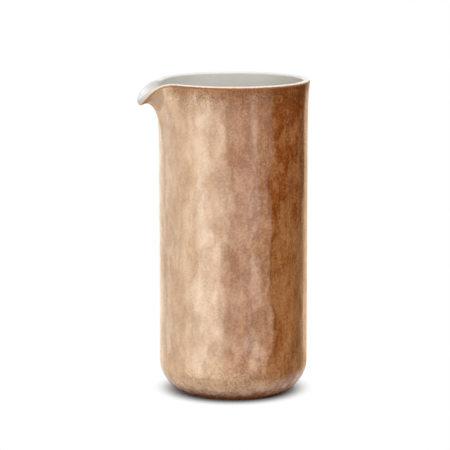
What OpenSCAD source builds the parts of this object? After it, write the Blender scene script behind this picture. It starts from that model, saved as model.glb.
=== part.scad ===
// Straight-sided stoneware jug with a pulled pouring lip and a bare foot ring.
// The clay pieces are luted together, and the glaze coats lie on them.
// Millimetres, Z up. The origin is on the jug's axis, on the plane that it stands on. It pours towards -X.

/* [Body] */
// Outside diameter of the straight wall, over the glaze
body_d = 100; // [84:1:130]
// Height from the table to the top of the rim
body_h = 214; // [160:1:280]
// Thickness of the clay wall
wall_t = 3.2; // [2.6:0.1:5]
// Radius of the round heel, outside
heel_r = 22; // [16:1:28]
// How much smaller the heel's radius is inside than outside
heel_step = 5; // [4:0.5:8]

/* [Floor] */
// Thickness of the clay floor
floor_t = 6; // [5:0.5:10]
// Thickness of the floor's lapped upper edge
floor_lap_t = 3; // [1.5:0.5:3.5]
// Width of the ledge that the floor's lapped edge sits on
floor_lap = 4; // [2:0.5:5]

/* [Foot] */
// Height of the foot ring under the jug
foot_h = 1.5; // [1:0.1:4]
// Width of the foot ring
foot_w = 4; // [2.5:0.5:6]
// Distance from the start of the heel in to the foot ring
foot_inset = 1; // [0.5:0.5:4]
// Depth of the groove that holds the foot ring
foot_tongue = 1; // [0.5:0.1:1.4]
// Radius of the foot ring's lower edges
foot_round = 0.8; // [0.3:0.1:0.9]
// Clay between the foot ring's groove and the floor's seat
toe_land = 1.5; // [1:0.5:3]

/* [Rim] */
// How far the rim stands out past the straight wall
rim_flare = 1.2; // [0.5:0.1:4]
// Slope of the wall at the rim, in degrees above level
rim_slope = 85; // [75:1:90]
// Radius of the rim's two rounded edges, over the glaze
rim_round = 1.5; // [1.2:0.1:2]

/* [Spout] */
// How far the lip is pulled out past the rim
spout_reach = 13.6; // [8:0.1:22]
// How far the lip's tip drops below the rim
spout_drop = 13; // [6:0.1:18]
// Height of the wall that the spout is pulled from
spout_h = 50; // [40:1:80]
// Angle of the wall that the spout takes up, in degrees
spout_span = 66; // [50:1:90]
// Slope of the lip's tip, in degrees above level
spout_slope = -29; // [-45:1:10]

/* [Glaze] */
// Thickness of the brown coat outside
outer_glaze_t = 0.7; // [0.4:0.1:1]
// Thickness of the white coat inside
inner_glaze_t = 0.5; // [0.3:0.1:1]
// Thickness of the coat under the floor
base_glaze_t = 0.4; // [0.2:0.1:0.8]

/* [Hidden] */
$fn = 96;

// Depths under the outer face: the clay's two faces, and the face of the white coat
clay_face = outer_glaze_t;
clay_back = clay_face + wall_t;
full_t = clay_back + inner_glaze_t;

// Radii from the axis outwards
outer_r = body_d / 2;
flat_r = outer_r - heel_r;
foot_out_r = flat_r - foot_inset;
foot_in_r = foot_out_r - foot_w;
seat_r = foot_in_r - toe_land;
lap_r = seat_r + floor_lap;

// Heights from the table upwards
base_z = foot_h;
toe_z = base_z + outer_glaze_t;
floor_z = toe_z + floor_t;
ledge_z = floor_z - floor_lap_t;
liner_z = floor_z + inner_glaze_t;
spout_z = body_h - spout_h;
rim_z = body_h - rim_round - (full_t - rim_round) * cos(rim_slope);

// The heel's inside curve
heel_in_r = heel_r - heel_step;
heel_in_c = [outer_r - clay_back - heel_in_r, floor_z + heel_in_r];

// How the spout dies away to its sides: its reach, its drop and its slope, as powers
reach_power = 5;
drop_power = 2.2;
slope_power = 1.8;
// Lengths of the wall curve's two handles, at the straight wall and at the lip, against its chord
rise_handle = 0.57;
lip_handle = 0.28;

// Steps along the wall curve, round a rim edge, round a heel or foot edge, and across the spout
curve_steps = 14;
edge_steps = 5;
heel_steps = 16;
spout_steps = 28;
// Room that the spout's notch takes beyond the wall's faces
notch_room = 5;

spout_half = spout_span / 2;

// Points on an arc about c, from angle a0 to angle a1
function arc(c, r, a0, a1, steps) =
    [for (i = [0:steps]) let (a = a0 + (a1 - a0) * i / steps) c + r * [cos(a), sin(a)]];

function reversed(list) = [for (i = [len(list) - 1:-1:0]) list[i]];

// The direction square to u, towards the jug's inside when u runs up the wall
function inward(u) = [-u.y, u.x];

// Share of the spout's pull at an angle from its middle: 1 in the middle, 0 at its sides
function pull(turn) = pow(cos(90 * turn / spout_half), reach_power);

// Where the outer face meets the rounded rim, and the wall's direction there
function lip_end(p) =
    [outer_r + rim_flare + spout_reach * p, rim_z - spout_drop * pow(p, drop_power)];

function lip_direction(p) =
    let (slope = rim_slope + (spout_slope - rim_slope) * pow(p, slope_power))
    [cos(slope), sin(slope)];

// The four control points of the outer face's curve, from the straight wall to the lip
function wall_controls(p) =
    let (
        start = [outer_r, spout_z],
        end = lip_end(p),
        chord = norm(end - start)
    )
    [
        start,
        start + [0, rise_handle * chord],
        end - lip_handle * chord * lip_direction(p),
        end
    ];

function on_curve(c, s) =
    pow(1 - s, 3) * c[0] + 3 * pow(1 - s, 2) * s * c[1] + 3 * (1 - s) * s * s * c[2] + pow(s, 3) * c[3];

function along_curve(c, s) =
    let (
        d = pow(1 - s, 2) * (c[1] - c[0]) + 2 * (1 - s) * s * (c[2] - c[1]) + s * s * (c[3] - c[2])
    )
    d / norm(d);

// The wall's upper part at a depth under the outer face, from the straight wall to the rim
function wall_curve(p, depth) =
    let (c = wall_controls(p))
    [for (i = [0:curve_steps])
        let (s = i / curve_steps)
        on_curve(c, s) + depth * inward(along_curve(c, s))];

// The rim's outer edge at a depth under the outer face, turning from the wall to the top
function rim_outside(p, depth, first) =
    let (
        u = lip_direction(p),
        centre = lip_end(p) + rim_round * inward(u)
    )
    [for (i = [first:edge_steps])
        let (a = 90 * i / edge_steps)
        centre + (rim_round - depth) * (sin(a) * u - cos(a) * inward(u))];

// The rim's inner edge at a depth under the white coat, turning from the wall to the top
function rim_inside(p, depth, first) =
    let (
        u = lip_direction(p),
        centre = lip_end(p) + (full_t - rim_round) * inward(u)
    )
    [for (i = [first:edge_steps])
        let (a = 90 * i / edge_steps)
        centre + (rim_round - depth) * (sin(a) * u + cos(a) * inward(u))];

// Each layer of the upper wall as two rows of points, its outer side and its inner side
function clay_layer(p) = [
    concat(wall_curve(p, clay_face), rim_outside(p, outer_glaze_t, 1)),
    concat(wall_curve(p, clay_back), rim_inside(p, inner_glaze_t, 1))
];

function outer_layer(p) = [wall_curve(p, 0), wall_curve(p, clay_face)];

function inner_layer(p) = [wall_curve(p, clay_back), wall_curve(p, full_t)];

function rim_layer(p) = [
    concat(rim_outside(p, 0, 0), reversed(rim_inside(p, 0, 0))),
    concat(rim_outside(p, outer_glaze_t, 0), reversed(rim_inside(p, inner_glaze_t, 0)))
];

// The heel's outside and inside curves at a depth under the outer face
function heel_outside(depth) =
    arc([flat_r, base_z + heel_r], heel_r - depth, -90, 0, heel_steps);

function heel_inside(depth) =
    arc(heel_in_c, heel_in_r - (depth - clay_back), -90, 0, heel_steps);

// The angle of one station across the spout
function station(i) = spout_half * (2 * i / spout_steps - 1);

// A point of the wall's section, turned to an angle from the spout's middle
function turned(point, turn) = [-point.x * cos(turn), -point.x * sin(turn), point.y];

// A closed solid through one layer at every station across the spout.
// A coat's faces are split the other way from the clay's, so that the two lie flush where they meet.
module across_spout(layers, is_coat) {
    row = len(layers[0][0]);
    ring = 2 * row;
    last = spout_steps * ring;
    points = [for (i = [0:spout_steps])
        for (point = concat(layers[i][0], reversed(layers[i][1])))
            turned(point, station(i))];
    sides = [for (i = [0:spout_steps - 1], j = [0:ring - 1])
        let (
            a = i * ring + j,
            b = i * ring + (j + 1) % ring
        )
        each (is_coat
            ? [[a, b, a + ring], [b, b + ring, a + ring]]
            : [[a, b, b + ring], [a, b + ring, a + ring]])];
    near_end = [for (j = [0:row - 2])
        let (back = ring - 1 - j)
        each [[j, back, back - 1], [j, back - 1, j + 1]]];
    far_end = [for (f = near_end) last * [1, 1, 1] + reversed(f)];
    polyhedron(points, concat(sides, near_end, far_end));
}

// The space in the wall and its coats that the spout fills
module notch() {
    rotate([0, 0, 180 - spout_half])
        rotate_extrude(angle = spout_span)
            translate([outer_r - full_t - notch_room, spout_z])
                square([full_t + rim_flare + 2 * notch_room, body_h]);
}

module foot_ring() {
    tongue_z = toe_z + foot_tongue;
    in_c = [foot_in_r + foot_round, foot_round];
    out_c = [foot_out_r - foot_round, foot_round];
    color("tan")
        rotate_extrude()
            polygon(concat(
                [[foot_in_r, tongue_z]],
                arc(in_c, foot_round, 180, 270, edge_steps),
                arc(out_c, foot_round, 270, 360, edge_steps),
                [[foot_out_r, tongue_z]]
            ));
}

module floor_slab() {
    color("tan")
        rotate_extrude()
            polygon([
                [0, toe_z], [seat_r, toe_z], [seat_r, ledge_z],
                [lap_r, ledge_z], [lap_r, floor_z], [0, floor_z]
            ]);
}

module body_wall() {
    clay = clay_layer(0);
    color("tan")
        difference() {
            rotate_extrude()
                difference() {
                    polygon(concat(
                        [[seat_r, toe_z]],
                        heel_outside(clay_face),
                        clay[0],
                        reversed(clay[1]),
                        reversed(heel_inside(clay_back)),
                        [[lap_r, floor_z], [lap_r, ledge_z], [seat_r, ledge_z]]
                    ));
                    translate([foot_in_r, toe_z])
                        square([foot_w, foot_tongue]);
                }
            notch();
        }
}

module spout() {
    color("tan")
        across_spout([for (i = [0:spout_steps]) clay_layer(pull(station(i)))], false);
}

module outer_glaze() {
    coat = outer_layer(0);
    color("sienna")
        difference() {
            rotate_extrude()
                polygon(concat(
                    [[foot_out_r, base_z]],
                    heel_outside(0),
                    coat[0],
                    reversed(coat[1]),
                    reversed(heel_outside(clay_face)),
                    [[foot_out_r, toe_z]]
                ));
            notch();
        }
}

module spout_outer_glaze() {
    color("sienna")
        across_spout([for (i = [0:spout_steps]) outer_layer(pull(station(i)))], true);
}

module inner_glaze() {
    coat = inner_layer(0);
    color("gainsboro")
        difference() {
            rotate_extrude()
                polygon(concat(
                    [[0, floor_z]],
                    heel_inside(clay_back),
                    coat[0],
                    reversed(coat[1]),
                    reversed(heel_inside(full_t)),
                    [[0, liner_z]]
                ));
            notch();
        }
}

module spout_inner_glaze() {
    color("gainsboro")
        across_spout([for (i = [0:spout_steps]) inner_layer(pull(station(i)))], true);
}

module rim_glaze() {
    edge = rim_layer(0);
    color("bisque")
        difference() {
            rotate_extrude()
                polygon(concat(edge[0], reversed(edge[1])));
            notch();
        }
}

module spout_rim_glaze() {
    color("bisque")
        across_spout([for (i = [0:spout_steps]) rim_layer(pull(station(i)))], true);
}

module base_glaze() {
    color("saddlebrown")
        translate([0, 0, toe_z - base_glaze_t])
            cylinder(h = base_glaze_t, r = foot_in_r);
}

foot_ring();
floor_slab();
body_wall();
spout();
outer_glaze();
spout_outer_glaze();
inner_glaze();
spout_inner_glaze();
rim_glaze();
spout_rim_glaze();
base_glaze();
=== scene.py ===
"""The looks of a straight-sided stoneware jug with a pulled pouring lip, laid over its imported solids."""
import math
import random

import bmesh
import bpy
import numpy as np
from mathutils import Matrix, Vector


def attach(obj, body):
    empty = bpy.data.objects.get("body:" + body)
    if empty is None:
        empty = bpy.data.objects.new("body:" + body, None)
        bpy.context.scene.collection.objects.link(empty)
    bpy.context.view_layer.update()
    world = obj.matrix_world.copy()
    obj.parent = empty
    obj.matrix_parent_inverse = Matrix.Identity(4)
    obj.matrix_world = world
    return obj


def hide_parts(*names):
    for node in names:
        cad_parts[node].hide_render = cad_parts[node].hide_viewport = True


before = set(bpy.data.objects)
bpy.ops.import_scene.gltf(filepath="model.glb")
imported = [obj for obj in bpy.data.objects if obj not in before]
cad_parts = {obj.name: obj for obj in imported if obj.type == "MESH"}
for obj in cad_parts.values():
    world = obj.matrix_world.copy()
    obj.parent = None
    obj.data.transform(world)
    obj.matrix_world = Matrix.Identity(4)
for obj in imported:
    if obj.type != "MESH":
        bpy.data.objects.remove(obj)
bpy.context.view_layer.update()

# Sizes of the jug in millimetres, the same as in the part's source
OUTER_R = 50.0
BODY_H = 214.0
HEEL_R = 22.0
HEEL_IN_R = 17.0
FLAT_R = OUTER_R - HEEL_R
FOOT_OUT_R = 27.0
BASE_Z = 1.5
FLOOR_Z = 8.2
CLAY_BACK = 3.9
FULL_T = 4.4
RIM_FLARE = 1.2
RIM_SLOPE = 85.0
RIM_ROUND = 1.5
RIM_Z = BODY_H - RIM_ROUND - (FULL_T - RIM_ROUND) * math.cos(math.radians(RIM_SLOPE))
SPOUT_REACH = 13.6
SPOUT_DROP = 13.0
SPOUT_H = 50.0
SPOUT_Z = BODY_H - SPOUT_H
SPOUT_HALF = 33.0
SPOUT_SLOPE = -29.0
REACH_POWER = 5
DROP_POWER = 2.2
SLOPE_POWER = 1.8
RISE_HANDLE = 0.57
LIP_HANDLE = 0.28
# How thick the brown and white coats are drawn: a little thinner than the room over the clay
BROWN_T = 0.64
WHITE_T = 0.44

MM = 0.001

# How many steps the meshes take round the jug, and along the heel, the wall and the lip of each face
TURNS = 288
BROWN_FACE_STEPS = (24, 100, 56)
BROWN_BACK_STEPS = (12, 12, 40)
WHITE_FACE_STEPS = (14, 60, 48)
WHITE_BACK_STEPS = (14, 10, 48)
FLOOR_STEPS = 13
RIM_STEPS = 9
turns = np.linspace(-180.0, 180.0, TURNS, endpoint=False)


# The jug's section, as points of radius and height
def inward(u):
    """The way in from a face that runs along u."""
    return np.stack([-u[..., 1], u[..., 0]], -1)


def pull(turn):
    """How far the lip is pulled out at a turn: 1 at the spout's middle, 0 on the round wall."""
    near = np.clip(np.abs(turn) / SPOUT_HALF, 0, 1)
    return np.cos(np.radians(90 * near)) ** REACH_POWER


def lip_end(p):
    """Where the outer face ends, under the rounded rim."""
    return np.stack([OUTER_R + RIM_FLARE + SPOUT_REACH * p, RIM_Z - SPOUT_DROP * p ** DROP_POWER], -1)


def lip_direction(p):
    """The way that the lip points."""
    slope = np.radians(RIM_SLOPE + (SPOUT_SLOPE - RIM_SLOPE) * p ** SLOPE_POWER)
    return np.stack([np.cos(slope), np.sin(slope)], -1)


def upper_wall(p, depth, steps):
    """The wall from the spout's foot to the lip, at a depth under the outer face, and the way in there."""
    start = np.broadcast_to([OUTER_R, SPOUT_Z], p.shape + (2,))
    end = lip_end(p)
    chord = np.linalg.norm(end - start, axis=-1, keepdims=True)
    c0, c1 = start, start + chord * [0, RISE_HANDLE]
    c2, c3 = end - LIP_HANDLE * chord * lip_direction(p), end
    s = np.linspace(0, 1, steps + 1)[None, :, None]
    c0, c1, c2, c3 = (c[:, None, :] for c in (c0, c1, c2, c3))
    at = (1 - s) ** 3 * c0 + 3 * (1 - s) ** 2 * s * c1 + 3 * (1 - s) * s * s * c2 + s ** 3 * c3
    along = (1 - s) ** 2 * (c1 - c0) + 2 * (1 - s) * s * (c2 - c1) + s * s * (c3 - c2)
    way_in = inward(along / np.linalg.norm(along, axis=-1, keepdims=True))
    return at + depth * way_in, way_in


def arc(centre, radius, a0, a1, steps):
    """Points on an arc, and the way to its centre."""
    a = np.radians(np.linspace(a0, a1, steps + 1))
    out = np.stack([np.cos(a), np.sin(a)], -1)
    return np.array(centre) + radius * out, -out


def round_all(rows):
    """One section's rows, the same at every turn."""
    return np.broadcast_to(rows, (TURNS,) + rows.shape)


def outside(depth, heel_steps, wall_steps, lip_steps):
    """The outer face from the foot ring up to the lip, at a depth, and the way in."""
    heel, heel_in = arc((FLAT_R, BASE_Z + HEEL_R), HEEL_R - depth, -90, 0, heel_steps)
    under, under_in = np.array([[FOOT_OUT_R, BASE_Z + depth]]), np.array([[0.0, 1.0]])
    rise = np.linspace(BASE_Z + HEEL_R, SPOUT_Z, wall_steps + 1)[1:-1]
    wall = np.stack([np.full_like(rise, OUTER_R - depth), rise], -1)
    wall_in = np.broadcast_to([-1.0, 0.0], wall.shape)
    lip, lip_in = upper_wall(pull(turns), depth, lip_steps)
    rows = np.concatenate([round_all(under), round_all(heel), round_all(wall), lip], 1)
    ways = np.concatenate([round_all(under_in), round_all(heel_in), round_all(wall_in), lip_in], 1)
    return rows, ways


def inside(depth, heel_steps, wall_steps, lip_steps):
    """The inner face from lip to floor, at a depth under the outer face, and the way out."""
    lip, lip_in = upper_wall(pull(turns), depth, lip_steps)
    fall = np.linspace(SPOUT_Z, FLOOR_Z + HEEL_IN_R, wall_steps + 1)[1:-1]
    wall = np.stack([np.full_like(fall, OUTER_R - depth), fall], -1)
    wall_out = np.broadcast_to([1.0, 0.0], wall.shape)
    centre = (OUTER_R - CLAY_BACK - HEEL_IN_R, FLOOR_Z + HEEL_IN_R)
    heel, heel_in = arc(centre, HEEL_IN_R - (depth - CLAY_BACK), 0, -90, heel_steps)
    across = np.linspace(centre[0], 0, FLOOR_STEPS + 1)[1:]
    floor = np.stack([across, np.full_like(across, FLOOR_Z + depth - CLAY_BACK)], -1)
    floor_out = np.broadcast_to([0.0, -1.0], floor.shape)
    rows = np.concatenate([lip[:, ::-1], round_all(wall), round_all(heel), round_all(floor)], 1)
    lower_ways = [round_all(wall_out), round_all(-heel_in), round_all(floor_out)]
    ways = np.concatenate([-lip_in[:, ::-1]] + lower_ways, 1)
    return rows, ways


def over_rim(outer_depth, inner_depth, steps):
    """The rounded rim from the outer face over its top to the inner face."""
    p = pull(turns)
    up = lip_direction(p)[:, None, :]
    across = inward(up)
    end = lip_end(p)[:, None, :]
    a = np.radians(np.linspace(0, 90, steps + 1))[None, :, None]
    b = a[:, ::-1]
    outer_centre = end + RIM_ROUND * across
    inner_centre = end + (FULL_T - RIM_ROUND) * across
    outer = outer_centre + (RIM_ROUND - outer_depth) * (np.sin(a) * up - np.cos(a) * across)
    inner = inner_centre + (RIM_ROUND - inner_depth) * (np.sin(b) * up + np.cos(b) * across)
    return np.concatenate([outer, inner], 1)


def turned(rows):
    """Section points at every turn, as points in millimetres. The spout's middle points to -X."""
    t = np.radians(turns)[:, None]
    return np.stack([-rows[..., 0] * np.cos(t), -rows[..., 0] * np.sin(t), rows[..., 1]], -1)


# The dents that the maker's fingers left, in staggered columns round the wall
DENT_COLUMNS = 20
DENT_WIDE = 2 * math.pi * OUTER_R / DENT_COLUMNS
DENT_HIGH = 25.0
DENT_STRAY = 0.35
BOWL_FLATTEST = 0.6
BOWL_STEEPEST = 2.6
DENT_SUNK = 0.18
RIDGE_SOFT = 0.08
RIDGE_TOP = 0.80
DENT_LEVEL = 0.26
DENT_ROWS = range(-1, 10)
DENT_SEED = 3
maker = random.Random(DENT_SEED)
# Of each dent: its turn, its height, how steep the bowl is and how far it sits in
dents = []
for column in range(DENT_COLUMNS):
    for row in DENT_ROWS:
        dents.append((
            360.0 * (column + maker.uniform(-DENT_STRAY, DENT_STRAY)) / DENT_COLUMNS,
            DENT_HIGH * (row + 0.5 * (column % 2) + maker.uniform(-DENT_STRAY, DENT_STRAY)),
            maker.uniform(BOWL_FLATTEST, BOWL_STEEPEST),
            maker.uniform(-DENT_SUNK, DENT_SUNK),
        ))


# The strips where the wall's sides look straight, and the wall under the spout, are nearly without dents
SMOOTH_SIDES = (-21.0, 159.0)
SIDE_SMOOTHING = 0.85
SIDE_TURNS = (16.0, 40.0)
SPOUT_SMOOTHING = 0.9
SPOUT_TURNS = (28.0, 44.0)
SPOUT_HEIGHTS = (140.0, 175.0)
# The dents also fade out below the lip and at the heel
LIP_FADE = (0.0, 30.0)
HEEL_FADE = (3.0, 24.0)

# The throwing rings in the lining, which climb like a thread and fade out below the spout and at the heel
RING_DEEP = 0.10
RING_PITCH = 7.0
RING_TOP_FADE = (0.0, 25.0)
RING_HEEL_FADE = (26.0, 40.0)

# How far round from the spout's middle the finish of the spout reaches
SPOUT_FINISH_TURNS = (10.0, 24.0)


def away(turn, middle):
    """How far a turn is from another, in degrees from -180 to 180."""
    return (turn - middle + 180.0) % 360.0 - 180.0


def dent_depth(turn, z):
    """How far the wall is pressed in at a turn and a height: bowls that meet in soft ridges."""
    total = np.full(np.broadcast(turn, z).shape, math.exp(-RIDGE_TOP / RIDGE_SOFT))
    for at, up, bowl, sunk in dents:
        side = np.radians(away(turn, at)) * OUTER_R
        rise = bowl * ((side / DENT_WIDE) ** 2 + ((z - up) / DENT_HIGH) ** 2) - sunk
        total += np.exp(-rise / RIDGE_SOFT)
    return RIDGE_SOFT * np.log(total) + DENT_LEVEL


def fade(value, low, high):
    """0 below low, 1 above high and smooth between."""
    t = np.clip((value - low) / (high - low), 0, 1)
    return t * t * (3 - 2 * t)


def near(turn, middle, within, past):
    """1 within some degrees of a middle, 0 past others and smooth between."""
    return fade(-np.abs(away(turn, middle)), -past, -within)


# Shells built from rows of points in millimetres
SHARP_ANGLE = 50.0


def shell(name, front, back, pole=False):
    """A closed coat of a face, a back and their edges. With a pole, both end in a point on the axis."""
    n, m, k = front.shape[0], front.shape[1], back.shape[1]
    points = [front.reshape(-1, 3), back.reshape(-1, 3)]
    start = n * m

    def face(i, j):
        return (i % n) * m + j

    def rear(i, j):
        return start + (i % n) * k + j

    def tip(i, j, where, last):
        return where(0, last) if pole and j == last else where(i, j)

    faces = []
    for i in range(n):
        for j in range(m - 1):
            ring = [face(i, j), tip(i, j + 1, face, m - 1), tip(i + 1, j + 1, face, m - 1), face(i + 1, j)]
            faces.append(list(dict.fromkeys(ring))[::-1])
        for j in range(k - 1):
            ring = [rear(i, j), rear(i + 1, j), tip(i + 1, j + 1, rear, k - 1), tip(i, j + 1, rear, k - 1)]
            faces.append(list(dict.fromkeys(ring))[::-1])
        faces.append([face(i, 0), face(i + 1, 0), rear(i + 1, 0), rear(i, 0)][::-1])
        if not pole:
            faces.append([face(i + 1, m - 1), face(i, m - 1), rear(i, k - 1), rear(i + 1, k - 1)][::-1])
    mesh = bpy.data.meshes.new(name)
    mesh.from_pydata((np.concatenate(points) * MM).tolist(), [], faces)
    loose = set(range(len(mesh.vertices))) - {v for f in faces for v in f}
    if loose:
        work = bmesh.new()
        work.from_mesh(mesh)
        work.verts.ensure_lookup_table()
        bmesh.ops.delete(work, geom=[work.verts[v] for v in loose], context="VERTS")
        work.to_mesh(mesh)
        work.free()
    mesh.polygons.foreach_set("use_smooth", [True] * len(mesh.polygons))
    mesh.set_sharp_from_angle(angle=math.radians(SHARP_ANGLE))
    mesh.update()
    piece = bpy.data.objects.new(name, mesh)
    bpy.context.scene.collection.objects.link(piece)
    return piece


def run_along(rows):
    """How far along its section each point lies, in millimetres."""
    steps = np.linalg.norm(np.diff(rows, axis=1), axis=-1)
    return np.concatenate([np.zeros((TURNS, 1)), np.cumsum(steps, 1)], 1)


def mark_points(piece, name, values):
    """Keeps a number at each point of a piece's face, for its finish."""
    mark = piece.data.attributes.new(name, "FLOAT", "POINT")
    kept = np.zeros(len(piece.data.vertices), np.float32)
    kept[:values.size] = values.reshape(-1)
    mark.data.foreach_set("value", kept)


def on_spout(rows):
    """1 along the spout's middle, 0 on the round wall."""
    return np.broadcast_to(near(turns[:, None], 0, *SPOUT_FINISH_TURNS), rows.shape[:2])


def brown_coat():
    rows, ways = outside(0, *BROWN_FACE_STEPS)
    along = run_along(rows)
    below_lip = along[:, -1:] - along
    at, up = turns[:, None], rows[..., 1]
    under_spout = near(at, 0, *SPOUT_TURNS) * fade(up, *SPOUT_HEIGHTS)
    along_sides = sum(near(at, side, *SIDE_TURNS) for side in SMOOTH_SIDES)
    smooth = SPOUT_SMOOTHING * under_spout + SIDE_SMOOTHING * along_sides
    deep = dent_depth(at, up) * fade(below_lip, *LIP_FADE) * fade(up, *HEEL_FADE) * np.clip(1 - smooth, 0, 1)
    face = turned(rows + deep[..., None] * ways)
    back = turned(outside(BROWN_T, *BROWN_BACK_STEPS)[0])
    piece = shell("brown_coat", face, back)
    mark_points(piece, "below_lip", below_lip)
    mark_points(piece, "on_spout", on_spout(rows))
    return piece


def white_lining():
    rows, ways = inside(FULL_T, *WHITE_FACE_STEPS)
    up = rows[..., 1]
    rings = RING_DEEP * np.sin(up * 2 * math.pi / RING_PITCH + np.radians(turns)[:, None])
    rings = rings * fade(SPOUT_Z - up, *RING_TOP_FADE) * fade(up, *RING_HEEL_FADE)
    face = turned(rows - rings[..., None] * ways)
    back = turned(inside(FULL_T - WHITE_T, *WHITE_BACK_STEPS)[0])
    return shell("white_lining", face, back, pole=True)


def cream_edge():
    rows = over_rim(0, 0, RIM_STEPS)
    piece = shell("cream_edge", turned(rows), turned(over_rim(BROWN_T, WHITE_T, RIM_STEPS)))
    mark_points(piece, "over_rim", run_along(rows))
    mark_points(piece, "on_spout", on_spout(rows))
    return piece


# Shader sums written as Python
class Socket:
    """A shader value. Each operator on it adds the Math node for that sum."""

    def __init__(self, finish, socket):
        self.finish = finish
        self.socket = socket

    def sum(self, operation, first, second):
        return self.finish.node("ShaderNodeMath", {"operation": operation}, {0: first, 1: second})

    def __add__(self, other):
        return self.sum("ADD", self, other)

    def __radd__(self, other):
        return self.sum("ADD", other, self)

    def __sub__(self, other):
        return self.sum("SUBTRACT", self, other)

    def __rsub__(self, other):
        return self.sum("SUBTRACT", other, self)

    def __mul__(self, other):
        return self.sum("MULTIPLY", self, other)

    def __rmul__(self, other):
        return self.sum("MULTIPLY", other, self)

    def __pow__(self, other):
        return self.sum("POWER", self, other)


class Finish:
    """The nodes of one material, or of the world."""

    def __init__(self, owner):
        owner.use_nodes = True
        self.owner = owner
        self.tree = owner.node_tree
        self.tree.nodes.clear()

    def node(self, kind, settings=None, sockets=None, out=0):
        node = self.tree.nodes.new(kind)
        for key, value in (settings or {}).items():
            setattr(node, key, value)
        for key, value in (sockets or {}).items():
            if isinstance(value, Socket):
                self.tree.links.new(value.socket, node.inputs[key])
            else:
                node.inputs[key].default_value = value
        return Socket(self, node.outputs[out]) if node.outputs else node

    def place(self, stretch=(1, 1, 1)):
        """Where on the jug a point is, in millimetres, stretched."""
        at = self.node("ShaderNodeTexCoord", out="Object")
        scale = [s / MM for s in stretch]
        return self.node("ShaderNodeVectorMath", {"operation": "MULTIPLY"}, {0: at, 1: scale})

    def cloud(self, size, detail=3.0, rough=0.55, stretch=(1, 1, 1)):
        """Soft noise whose lumps are about that many millimetres."""
        sockets = {"Vector": self.place(stretch), "Scale": 1.0 / size, "Detail": detail, "Roughness": rough}
        return self.node("ShaderNodeTexNoise", {"noise_dimensions": "3D"}, sockets)

    def step(self, value, low, high):
        """0 below low, 1 above high and smooth between."""
        settings = {"interpolation_type": "SMOOTHSTEP"}
        return self.node("ShaderNodeMapRange", settings, {0: value, 1: low, 2: high})

    def mark(self, name):
        """The number that a mesh keeps at its points under that name."""
        return self.node("ShaderNodeAttribute", {"attribute_name": name}, out="Fac")

    def blend(self, share, first, second):
        """Two colours, mixed by a share."""
        sockets = {0: share, 6: first, 7: second}
        return self.node("ShaderNodeMix", {"data_type": "RGBA"}, sockets, out=2)

    def bump(self, height, strength, distance):
        """Fine relief, too small to be in the mesh."""
        sockets = {"Height": height, "Strength": strength, "Distance": distance}
        return self.node("ShaderNodeBump", None, sockets)

    def show(self, shader, output="ShaderNodeOutputMaterial"):
        """Ends the nodes with a shader."""
        self.node(output, None, {"Surface": shader})
        return self.owner

    def surface(self, sockets):
        """Ends the nodes with one plain surface."""
        return self.show(self.node("ShaderNodeBsdfPrincipled", None, sockets))


def colour(r, g, b):
    """A colour as read from 0 to 255, in linear light."""
    def linear(v):
        v = v / 255.0
        return v / 12.92 if v <= 0.04045 else ((v + 0.055) / 1.055) ** 2.4
    return (linear(r), linear(g), linear(b), 1.0)


# The way to the jug's darker and more mottled side, which the camera has on its right; the colour laid along
# it is partly the glaze's own and partly painted shade and light
SHADED_WAY = (0.934, -0.358, 0.0)


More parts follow.
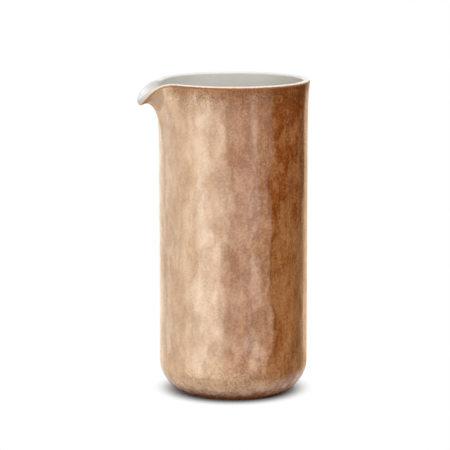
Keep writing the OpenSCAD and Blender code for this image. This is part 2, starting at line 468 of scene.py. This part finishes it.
def brown_glaze():
    f = Finish(bpy.data.materials.new("brown_glaze"))
    grain = f.cloud(1.5, 2.0, 0.65)
    flecks = f.step(grain, 0.37, 0.64)
    haze = f.step(f.cloud(5.0, 4.0, 0.65, (1, 1, 0.6)), 0.36, 0.66)
    runs = f.step(f.cloud(3.4, 2.0, 0.5, (1, 1, 0.15)), 0.40, 0.68)
    patches = f.cloud(14.0, 3.0, 0.6, (1, 1, 0.6))
    blotches = f.step(patches, 0.38, 0.62)
    dot = {"operation": "DOT_PRODUCT"}
    across = f.node("ShaderNodeVectorMath", dot, {0: f.place(), 1: SHADED_WAY}, out="Value")
    height = f.node("ShaderNodeSeparateXYZ", None, {0: f.place()}, out="Z")
    side = f.step(across, -40.0, 45.0)
    heel = 1 - f.step(height, 8.0, 42.0)
    far_left = 1 - f.step(across, -46.0, -28.0)
    far_right = f.step(across, 22.0, 40.0)
    # Painted light at the lower right, paler and warmer there
    painted_light_low_right = far_right * (1 - 0.95 * f.step(height, 90.0, 150.0))
    # How pale the glaze is, less in the zones where it is darker; the mottle is the glaze's own, and the
    # zones laid across the front are partly painted light and shade
    mottle = 0.30 * flecks + 0.30 * haze + 0.24 * blotches - 0.18 * runs
    contrast = 0.58 + 0.57 * side + 0.5 * heel
    # Painted light: the heel is paler on the left and in the middle, for the lit table's reflection in it
    heel_painted_light = heel * (0.25 - 0.25 * side) * (1 - 0.9 * far_left)
    pale = 0.33 + contrast * (mottle - 0.35) + heel_painted_light
    # Painted light: paler towards the camera's right, and more at the lower right
    pale = pale + 0.06 * f.step(across, -5.0, 45.0) + 0.06 * painted_light_low_right
    # Darker zones in the upper middle, at the shoulder, in a middle strip and high on the right side: partly
    # the glaze's own colour, partly painted shade
    upper_middle = f.step(across, 2.0, 18.0) * (1 - far_right) * f.step(height, 100.0, 140.0)
    shoulder = f.step(across, 14.0, 24.0) * f.step(height, 160.0, 190.0)
    strip = f.step(across, -10.0, -2.0) * (1 - f.step(across, 8.0, 20.0))
    upper_side = f.step(across, 38.0, 47.0) * f.step(height, 100.0, 170.0)
    pale = pale - 0.17 * upper_middle - 0.12 * shoulder
    pale = pale - strip * (0.13 * f.step(height, 50.0, 100.0) - 0.02) - 0.12 * upper_side
    # Redder towards the camera's right: partly the glaze's own, partly painted shade
    dark = f.blend(side, colour(151, 92, 14), colour(153, 72, 11))
    light = f.blend(side, colour(215, 164, 104), colour(235, 164, 104))
    dark = f.blend(painted_light_low_right, dark, colour(178, 106, 54))
    light = f.blend(painted_light_low_right, light, colour(251, 179, 116))
    base = f.blend(pale, dark, light)
    below = f.mark("below_lip") + 14 * (patches - 0.5)
    spout = f.mark("on_spout")
    # Painted sheen: the heel is paler and greyer on the left and in the middle, for a reflection on it
    heel_painted_sheen = heel * (0.52 - 0.44 * f.step(across, 0.0, 45.0) - 0.4 * far_left) * (0.4 + 1.2 * flecks)
    base = f.blend(heel_painted_sheen, base, colour(214, 176, 144))
    # Painted light: the shaded wall just under the spout's lip is made paler
    base = f.blend(spout * (0.3 - 0.3 * f.step(below, 4.0, 26.0)), base, colour(230, 184, 134))
    # Painted shade under the rim, weak on the camera's left
    shade = (1 - f.step(below, 6.0, 34.0)) * (0.25 + 0.75 * f.step(across, -28.0, 4.0)) * (1 - 0.6 * spout)
    shade = shade * (1 - 0.6 * f.step(across, 12.0, 36.0))
    base = f.blend(shade * (0.75 - 0.5 * flecks), base, colour(140, 80, 40))
    band = (1 - f.step(below, 2.0, 9.0)) * (1 - spout) * (1 - 0.5 * f.step(across, 10.0, 30.0))
    base = f.blend(band * 0.55, base, colour(150, 92, 52))
    specks = f.step(f.cloud(1.1, 1.0), 0.54, 0.62) * (1 - f.step(below, 3.0, 17.0)) * (1 - spout)
    base = f.blend(specks * 0.85, base, colour(92, 44, 18))
    skin = f.bump(grain, 0.05, 0.0003)
    # Less coat in the dull band under the lip and at the specks, and less where painted shade lies under the
    # rim and on the right of the heel
    worn_and_shaded = (1 - 0.9 * band) * (1 - 0.5 * shade) * (1 - heel * (0.4 + 0.4 * side)) * (1 - 0.8 * specks)
    glaze = f.node("ShaderNodeBsdfPrincipled", None, {
        "Base Color": base, "Roughness": 0.24 - 0.05 * haze + 0.2 * band + 0.2 * heel,
        "IOR": 1.65, "Specular IOR Level": 0.5, "Specular Tint": (1.0, 1.0, 0.86, 1.0),
        "Coat Weight": (0.58 + 0.42 * pale + 0.10 * haze + 0.30 * blotches) * worn_and_shaded,
        "Coat Roughness": 0.15, "Coat IOR": 2.0, "Normal": skin,
    })
    # The toe is dark and dull: partly the glaze burning thin at the foot, partly painted shade where the
    # heel curves under, darkest on the camera's left
    burnt_and_shaded_toe = f.node("ShaderNodeBsdfPrincipled", None, {
        "Base Color": f.blend(0.3 * flecks + 0.7 * side, colour(84, 38, 14), colour(150, 84, 38)),
        "Roughness": 0.85, "Specular IOR Level": 0.1, "Normal": skin,
    })
    toe = 1 - f.step(height + 2.5 * (haze - 0.5), 4.0, 13.5)
    return f.show(f.node("ShaderNodeMixShader", None, {0: toe, 1: glaze, 2: burnt_and_shaded_toe}))


def white_glaze():
    f = Finish(bpy.data.materials.new("white_glaze"))
    cloud = f.cloud(14.0, 3.0)
    specks = f.step(f.cloud(0.8, 1.0), 0.70, 0.78)
    base = f.blend(cloud, colour(224, 221, 214), colour(212, 209, 202))
    base = f.blend(specks * 0.3, base, colour(176, 160, 140))
    skin = f.bump(f.cloud(3.0, 2.0), 0.06, 0.0004)
    return f.surface({"Base Color": base, "Roughness": 0.24 + 0.10 * cloud, "Normal": skin})


def cream_glaze():
    f = Finish(bpy.data.materials.new("cream_edge"))
    cloud = f.cloud(2.0, 3.0)
    over = f.mark("over_rim") + 0.9 * (cloud - 0.5)
    spout = f.mark("on_spout")
    base = f.blend(cloud, colour(236, 208, 178), colour(240, 218, 194))
    brown = f.blend(spout, colour(156, 98, 58), colour(192, 142, 96))
    base = f.blend(f.step(over, 1.1, 1.5), brown, base)
    # Painted shade: the white at the spout's tip is grey
    white = f.blend(spout ** 3, colour(228, 226, 221), colour(208, 208, 209))
    base = f.blend(f.step(over, 1.9, 2.6), base, white)
    skin = f.bump(cloud, 0.08, 0.0003)
    return f.surface({
        "Base Color": base, "Roughness": 0.30 + 0.10 * cloud, "Specular IOR Level": 0.3, "Normal": skin,
    })


def clay(name, pale, dark):
    f = Finish(bpy.data.materials.new(name))
    grog = f.cloud(0.7, 2.0, 0.7)
    body = f.cloud(6.0, 3.0)
    base = f.blend(body, pale, dark)
    base = f.blend(f.step(grog, 0.62, 0.72) * 0.7, base, colour(92, 62, 42))
    skin = f.bump(grog, 0.25, 0.0003)
    return f.surface({"Base Color": base, "Roughness": 0.80 + 0.12 * body, "Normal": skin})


def base_wash():
    f = Finish(bpy.data.materials.new("base_wash"))
    cloud = f.cloud(4.0, 3.0)
    base = f.blend(f.step(cloud, 0.35, 0.65), colour(112, 66, 38), colour(84, 46, 24))
    skin = f.bump(cloud, 0.15, 0.0004)
    return f.surface({"Base Color": base, "Roughness": 0.34 + 0.12 * cloud, "Normal": skin})


# The pieces, each in its finish
for piece, finish, slot, nodes in (
    (brown_coat(), brown_glaze(), "brown_glaze", ("outer_glaze", "spout_outer_glaze")),
    (white_lining(), white_glaze(), "white_glaze", ("inner_glaze", "spout_inner_glaze")),
    (cream_edge(), cream_glaze(), "cream_edge", ("rim_glaze", "spout_rim_glaze")),
):
    piece.data.materials.append(finish)
    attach(piece, "root")
    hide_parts(*nodes)

stoneware = clay("stoneware_clay", colour(198, 172, 144), colour(180, 150, 120))
bare = clay("bare_clay", colour(176, 142, 112), colour(150, 114, 84))
for node, finish in (
    ("body_wall", stoneware), ("floor_slab", stoneware), ("spout", stoneware),
    ("foot_ring", bare), ("base_glaze", base_wash()),
):
    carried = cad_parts[node]
    carried.data.materials.clear()
    carried.data.materials.append(finish)

# The table, the lamps and the camera, with angles in degrees and lengths in metres
CAMERA_TURN = -21.0
CAMERA_RISE = 9.84
CAMERA_FAR = 1.6
MIDDLE = Vector((0, 0, 0.10785))
LAMP_POWER = 4.0
CARD_LOW = -0.7
CARD_HIGH = 0.3
TABLE_R = 0.092
TABLE_SIDES = 96
TABLE_DROP = 0.0002
# How the table goes over into the white background: millimetres from a point behind the jug's axis. Within
# the fade the grey table paints a shadow round the foot, lying behind it, besides the shadow that the lamps
# cast
SHADOW_BEHIND = 13.0
SHADOW_FADE = (37.0, 56.0)
TABLE_FADE = (58.0, 92.0)


def direction(turn, rise):
    """A way out from the jug: the turn is counted from the camera, to the right as it sees it."""
    a, e = math.radians(CAMERA_TURN + turn), math.radians(rise)
    return Vector((math.sin(a) * math.cos(e), -math.cos(a) * math.cos(e), math.sin(e)))


def lamp(name, turn, rise, far, wide, high, radiance, tint=(1.0, 1.0, 1.0)):
    """A soft lamp that faces the jug and that the camera doesn't see. Its power grows with its area."""
    light = bpy.data.lights.new(name, "AREA")
    light.shape = "RECTANGLE"
    light.color = tint
    light.size = wide
    light.size_y = high
    light.energy = LAMP_POWER * wide * high * radiance
    holder = bpy.data.objects.new(name, light)
    way = direction(turn, rise)
    holder.location = MIDDLE + far * way
    holder.rotation_euler = way.to_track_quat("Z", "Y").to_euler()
    holder.visible_camera = False
    bpy.context.scene.collection.objects.link(holder)


WARM = (1.0, 0.96, 0.84)
STRAW = (1.0, 0.88, 0.74)
HONEY = (1.0, 0.86, 0.64)
AMBER = (1.0, 0.72, 0.48)
lamp("far_left_softbox", -96, -9, 0.9, 1.12, 0.80, 0.46, HONEY)
lamp("left_fill_softbox", -78, -9, 0.9, 0.42, 0.80, 0.3, STRAW)
lamp("left_wide_softbox", -51, -9, 0.9, 0.655, 0.80, 0.5, WARM)
lamp("left_softbox", -48, -9, 0.9, 0.383, 0.80, 0.87, WARM)
lamp("front_wide_softbox", -21, -9, 0.9, 0.48, 0.80, 0.4, WARM)
lamp("front_softbox", -25, -9, 0.9, 0.35, 0.80, 0.41, WARM)
lamp("right_softbox", 56, -4, 0.6, 0.46, 0.70, 0.50, WARM)
lamp("right_strip_softbox", 31, -4, 0.6, 0.05, 0.70, 0.5, WARM)
lamp("back_left_softbox", -151, -4, 0.7, 0.60, 0.70, 0.95, STRAW)
lamp("back_right_softbox", 154, -4, 0.7, 0.50, 0.70, 0.72, AMBER)
lamp("low_right_softbox", 133, -17, 0.45, 0.10, 0.20, 0.26, AMBER)
lamp("overhead_softbox", 15, 66, 1.1, 0.9, 0.9, 3.4)


def disc(name, radius, sides):
    """A flat round top, a hair below the foot that stands on it."""
    angles = [2 * math.pi * i / sides for i in range(sides)]
    ring = [(radius * math.cos(a), radius * math.sin(a), -TABLE_DROP) for a in angles]
    mesh = bpy.data.meshes.new(name)
    mesh.from_pydata(ring, [], [list(range(sides))])
    thing = bpy.data.objects.new(name, mesh)
    bpy.context.scene.collection.objects.link(thing)
    return thing


def seen_white(f):
    """1 for rays that look at the background, straight or in a gloss or through glass."""
    straight = f.node("ShaderNodeLightPath", out="Is Camera Ray")
    glossy = f.node("ShaderNodeLightPath", out="Is Glossy Ray")
    through = f.node("ShaderNodeLightPath", out="Is Transmission Ray")
    return f.step(straight + glossy + through, 0.0, 1.0)


def dark_card(turn, far, wide):
    """An upright dark card that the camera doesn't see, for the dark parts of the jug's reflections."""
    way = direction(turn, 0)
    at = far * way
    half = 0.5 * wide * Vector((-way.y, way.x, 0))
    foot = Vector((0, 0, CARD_LOW))
    top = Vector((0, 0, CARD_HIGH))
    corners = [at - half + foot, at + half + foot, at + half + top, at - half + top]
    mesh = bpy.data.meshes.new("dark_card")
    mesh.from_pydata([tuple(c) for c in corners], [], [(0, 1, 2, 3)])
    card = bpy.data.objects.new("dark_card", mesh)
    f = Finish(bpy.data.materials.new("dark_card"))
    dark = f.node("ShaderNodeBsdfDiffuse", None, {"Color": (0.02, 0.02, 0.02, 1)})
    mesh.materials.append(f.show(dark))
    card.visible_camera = False
    bpy.context.scene.collection.objects.link(card)


dark_card(93, 0.5, 1.54)
dark_card(153, 0.8, 0.8)
dark_card(-153, 0.8, 0.8)

table = disc("table", TABLE_R, TABLE_SIDES)
f = Finish(bpy.data.materials.new("pale_table"))
# The table's grey near the jug is painted shade, with the lamps' cast shadow on it
plain = f.node("ShaderNodeBsdfDiffuse", None, {"Color": (0.58, 0.62, 0.64, 1)})
behind = [-SHADOW_BEHIND * v for v in direction(0, 0)]
distance = {"operation": "DISTANCE"}
from_jug = f.node("ShaderNodeVectorMath", distance, {0: f.place(), 1: behind}, out="Value")
white = f.node("ShaderNodeEmission", None, {"Color": (1, 1, 1, 1), "Strength": 1.0})
past_shadow = f.step(from_jug, *SHADOW_FADE) * seen_white(f)
faded = f.node("ShaderNodeMixShader", None, {0: past_shadow, 1: plain, 2: white})
clear = f.node("ShaderNodeBsdfTransparent", None, {"Color": (1, 1, 1, 1)})
past_table = f.step(from_jug, *TABLE_FADE)
soft_edge = f.node("ShaderNodeMixShader", None, {0: past_table, 1: faded, 2: clear})
table.data.materials.append(f.show(soft_edge))

world = bpy.data.worlds.new("studio")
bpy.context.scene.world = world
f = Finish(world)
soft = f.node("ShaderNodeBackground", None, {"Color": (1, 1, 1, 1), "Strength": 0.28})
white = f.node("ShaderNodeBackground", None, {"Color": (1, 1, 1, 1), "Strength": 1.0})
mixed = f.node("ShaderNodeMixShader", None, {0: seen_white(f), 1: soft, 2: white})
f.show(mixed, "ShaderNodeOutputWorld")

lens = bpy.data.cameras.new("camera")
lens.sensor_fit = "HORIZONTAL"
lens.sensor_width = 36.0
lens.lens = 189.4
lens.shift_x = -0.0182
lens.shift_y = 0.0233
lens.clip_end = 20.0
camera = bpy.data.objects.new("camera", lens)
way = direction(0, CAMERA_RISE)
camera.location = MIDDLE + CAMERA_FAR * way
camera.rotation_euler = way.to_track_quat("Z", "Y").to_euler()
bpy.context.scene.collection.objects.link(camera)
bpy.context.scene.camera = camera
bpy.context.scene.view_settings.view_transform = "Standard"
